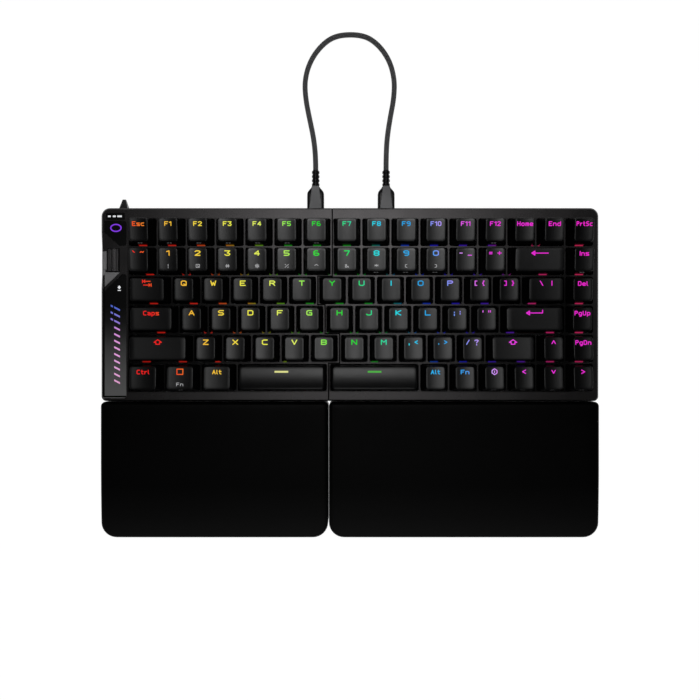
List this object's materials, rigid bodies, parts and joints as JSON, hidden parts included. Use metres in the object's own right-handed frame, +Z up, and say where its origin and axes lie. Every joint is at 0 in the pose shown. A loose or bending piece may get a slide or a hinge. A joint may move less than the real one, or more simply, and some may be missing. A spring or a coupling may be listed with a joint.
{
  "type": "split keyboard",
  "caption": "Split mechanical keyboard: two halves with lit keycaps, a side strip with a roller, a looped link cable and a wrist rest for each half.",
  "frame": {"origin": "middle of the keyboard with its wrist rests, on the surface it stands on", "axes": "+X to the user's right, +Y to the rear where the cable is, +Z up"},
  "size_m": [0.3284, 0.3415, 0.0331],
  "materials": {
    "deck_metal": "dark satin anodised",
    "case_plastic": "black, fine texture",
    "keycap_plastic": "black, slightly textured",
    "switch_plastic": "dark moulded",
    "plate_steel": "dark coated",
    "board": "solder mask",
    "damping_foam": "matte foam",
    "battery_foil": "foil pouch",
    "connector_metal": "plated",
    "screw_steel": "black oxide",
    "foot_rubber": "matte",
    "foot_plastic": "black",
    "panel_gloss": "piano black",
    "light_guide": "lit light guide",
    "accent_metal": "satin",
    "wheel_metal": "dark satin",
    "switch_knob": "semi gloss",
    "rest_silicone": "smooth silicone",
    "cable_braid": "black braid",
    "plug_moulding": "moulded"
  },
  "bodies": {
    "left_half": {"left_top_case": "deck_metal", "left_bottom_case": "case_plastic", "left_switch_plate": "plate_steel", "left_switch_housings": "switch_plastic", "left_stabilisers": "switch_plastic", "left_circuit_board": "board", "left_damping_pad": "damping_foam", "left_battery": "battery_foil", "left_usb_sockets": "connector_metal", "left_case_screws": "screw_steel", "left_rubber_feet": "foot_rubber", "control_panel": "panel_gloss", "light_bar": "light_guide", "accent_plate": "accent_metal", "left_cable_plug": "plug_moulding", "link_cable": "cable_braid"},
    "right_half": {"right_top_case": "deck_metal", "right_bottom_case": "case_plastic", "right_switch_plate": "plate_steel", "right_switch_housings": "switch_plastic", "right_stabilisers": "switch_plastic", "right_circuit_board": "board", "right_damping_pad": "damping_foam", "right_usb_socket": "connector_metal", "right_case_screws": "screw_steel", "right_rubber_feet": "foot_rubber", "right_cable_plug": "plug_moulding"},
    "left_palm_rest": {"left_palm_rest_base": "case_plastic", "left_palm_rest_pad": "rest_silicone", "left_palm_rest_feet": "foot_rubber"},
    "right_palm_rest": {"right_palm_rest_base": "case_plastic", "right_palm_rest_pad": "rest_silicone", "right_palm_rest_feet": "foot_rubber"},
    "control_wheel": {"control_wheel": "wheel_metal"},
    "mode_switch": {"mode_switch": "switch_knob"},
    "left_outer_foot": {"left_outer_foot": "foot_plastic"},
    "left_inner_foot": {"left_inner_foot": "foot_plastic"},
    "right_inner_foot": {"right_inner_foot": "foot_plastic"},
    "right_outer_foot": {"right_outer_foot": "foot_plastic"},
    "left_row_1_keys": {"left_row_1_keys": "keycap_plastic"},
    "left_row_2_keys": {"left_row_2_keys": "keycap_plastic"},
    "left_row_3_keys": {"left_row_3_keys": "keycap_plastic"},
    "left_row_4_keys": {"left_row_4_keys": "keycap_plastic"},
    "left_row_5_keys": {"left_row_5_keys": "keycap_plastic"},
    "left_row_6_keys": {"left_row_6_keys": "keycap_plastic"},
    "tab_key": {"tab_key": "keycap_plastic"},
    "caps_lock_key": {"caps_lock_key": "keycap_plastic"},
    "left_shift_key": {"left_shift_key": "keycap_plastic"},
    "left_space_key": {"left_space_key": "keycap_plastic"},
    "right_row_1_keys": {"right_row_1_keys": "keycap_plastic"},
    "right_row_2_keys": {"right_row_2_keys": "keycap_plastic"},
    "right_row_3_keys": {"right_row_3_keys": "keycap_plastic"},
    "right_row_4_keys": {"right_row_4_keys": "keycap_plastic"},
    "right_row_5_keys": {"right_row_5_keys": "keycap_plastic"},
    "right_row_6_keys": {"right_row_6_keys": "keycap_plastic"},
    "backspace_key": {"backspace_key": "keycap_plastic"},
    "backslash_key": {"backslash_key": "keycap_plastic"},
    "enter_key": {"enter_key": "keycap_plastic"},
    "right_shift_key": {"right_shift_key": "keycap_plastic"},
    "right_space_key": {"right_space_key": "keycap_plastic"}
  },
  "joints": [
    {"name": "halves_part", "type": "slide", "parent": "left_half", "child": "right_half", "axis": [1, 0, 0], "range_m": [0, 0.06], "deforming": ["link_cable"]},
    {"name": "left_rest_pull", "type": "slide", "parent": "left_half", "child": "left_palm_rest", "axis": [0, -1, 0], "range_m": [0, 0.03]},
    {"name": "right_rest_pull", "type": "slide", "parent": "right_half", "child": "right_palm_rest", "axis": [0, -1, 0], "range_m": [0, 0.03]},
    {"name": "wheel_turn", "type": "hinge", "parent": "left_half", "child": "control_wheel", "pos_m": [-0.155, 0.0706, 0.0178], "axis": [0, 1, 0], "continuous": true},
    {"name": "mode_slide", "type": "slide", "parent": "left_half", "child": "mode_switch", "axis": [1, 0, 0], "range_m": [-0.002, 0.002]},
    {"name": "left_outer_foot_fold", "type": "hinge", "parent": "left_half", "child": "left_outer_foot", "pos_m": [-0.11678, 0.0959, 0.0027], "axis": [1, 0, 0], "range_deg": [0, 95]},
    {"name": "left_inner_foot_fold", "type": "hinge", "parent": "left_half", "child": "left_inner_foot", "pos_m": [-0.04057, 0.0959, 0.0027], "axis": [1, 0, 0], "range_deg": [0, 95]},
    {"name": "right_inner_foot_fold", "type": "hinge", "parent": "right_half", "child": "right_inner_foot", "pos_m": [0.04374, 0.0959, 0.0027], "axis": [1, 0, 0], "range_deg": [0, 95]},
    {"name": "right_outer_foot_fold", "type": "hinge", "parent": "right_half", "child": "right_outer_foot", "pos_m": [0.1428, 0.0959, 0.0027], "axis": [1, 0, 0], "range_deg": [0, 95]},
    {"name": "left_row_1_keys_press", "type": "slide", "parent": "left_half", "child": "left_row_1_keys", "axis": [0, 0, -1], "range_m": [0, 0.0035], "stiffness_N_per_m": 420, "springref_m": -0.00533},
    {"name": "left_row_2_keys_press", "type": "slide", "parent": "left_half", "child": "left_row_2_keys", "axis": [0, 0, -1], "range_m": [0, 0.0035], "stiffness_N_per_m": 420, "springref_m": -0.00533},
    {"name": "left_row_3_keys_press", "type": "slide", "parent": "left_half", "child": "left_row_3_keys", "axis": [0, 0, -1], "range_m": [0, 0.0035], "stiffness_N_per_m": 300, "springref_m": -0.00533},
    {"name": "left_row_4_keys_press", "type": "slide", "parent": "left_half", "child": "left_row_4_keys", "axis": [0, 0, -1], "range_m": [0, 0.0035], "stiffness_N_per_m": 300, "springref_m": -0.00533},
    {"name": "left_row_5_keys_press", "type": "slide", "parent": "left_half", "child": "left_row_5_keys", "axis": [0, 0, -1], "range_m": [0, 0.0035], "stiffness_N_per_m": 300, "springref_m": -0.00533},
    {"name": "left_row_6_keys_press", "type": "slide", "parent": "left_half", "child": "left_row_6_keys", "axis": [0, 0, -1], "range_m": [0, 0.0035], "stiffness_N_per_m": 180, "springref_m": -0.00533},
    {"name": "tab_key_press", "type": "slide", "parent": "left_half", "child": "tab_key", "axis": [0, 0, -1], "range_m": [0, 0.0035], "stiffness_N_per_m": 60, "springref_m": -0.00533},
    {"name": "caps_lock_key_press", "type": "slide", "parent": "left_half", "child": "caps_lock_key", "axis": [0, 0, -1], "range_m": [0, 0.0035], "stiffness_N_per_m": 60, "springref_m": -0.00533},
    {"name": "left_shift_key_press", "type": "slide", "parent": "left_half", "child": "left_shift_key", "axis": [0, 0, -1], "range_m": [0, 0.0035], "stiffness_N_per_m": 60, "springref_m": -0.00533},
    {"name": "left_space_key_press", "type": "slide", "parent": "left_half", "child": "left_space_key", "axis": [0, 0, -1], "range_m": [0, 0.0035], "stiffness_N_per_m": 60, "springref_m": -0.00533},
    {"name": "right_row_1_keys_press", "type": "slide", "parent": "right_half", "child": "right_row_1_keys", "axis": [0, 0, -1], "range_m": [0, 0.0035], "stiffness_N_per_m": 540, "springref_m": -0.00533},
    {"name": "right_row_2_keys_press", "type": "slide", "parent": "right_half", "child": "right_row_2_keys", "axis": [0, 0, -1], "range_m": [0, 0.0035], "stiffness_N_per_m": 420, "springref_m": -0.00533},
    {"name": "right_row_3_keys_press", "type": "slide", "parent": "right_half", "child": "right_row_3_keys", "axis": [0, 0, -1], "range_m": [0, 0.0035], "stiffness_N_per_m": 480, "springref_m": -0.00533},
    {"name": "right_row_4_keys_press", "type": "slide", "parent": "right_half", "child": "right_row_4_keys", "axis": [0, 0, -1], "range_m": [0, 0.0035], "stiffness_N_per_m": 420, "springref_m": -0.00533},
    {"name": "right_row_5_keys_press", "type": "slide", "parent": "right_half", "child": "right_row_5_keys", "axis": [0, 0, -1], "range_m": [0, 0.0035], "stiffness_N_per_m": 420, "springref_m": -0.00533},
    {"name": "right_row_6_keys_press", "type": "slide", "parent": "right_half", "child": "right_row_6_keys", "axis": [0, 0, -1], "range_m": [0, 0.0035], "stiffness_N_per_m": 360, "springref_m": -0.00533},
    {"name": "backspace_key_press", "type": "slide", "parent": "right_half", "child": "backspace_key", "axis": [0, 0, -1], "range_m": [0, 0.0035], "stiffness_N_per_m": 60, "springref_m": -0.00533},
    {"name": "backslash_key_press", "type": "slide", "parent": "right_half", "child": "backslash_key", "axis": [0, 0, -1], "range_m": [0, 0.0035], "stiffness_N_per_m": 60, "springref_m": -0.00533},
    {"name": "enter_key_press", "type": "slide", "parent": "right_half", "child": "enter_key", "axis": [0, 0, -1], "range_m": [0, 0.0035], "stiffness_N_per_m": 60, "springref_m": -0.00533},
    {"name": "right_shift_key_press", "type": "slide", "parent": "right_half", "child": "right_shift_key", "axis": [0, 0, -1], "range_m": [0, 0.0035], "stiffness_N_per_m": 60, "springref_m": -0.00533},
    {"name": "right_space_key_press", "type": "slide", "parent": "right_half", "child": "right_space_key", "axis": [0, 0, -1], "range_m": [0, 0.0035], "stiffness_N_per_m": 60, "springref_m": -0.00533}
  ]
}
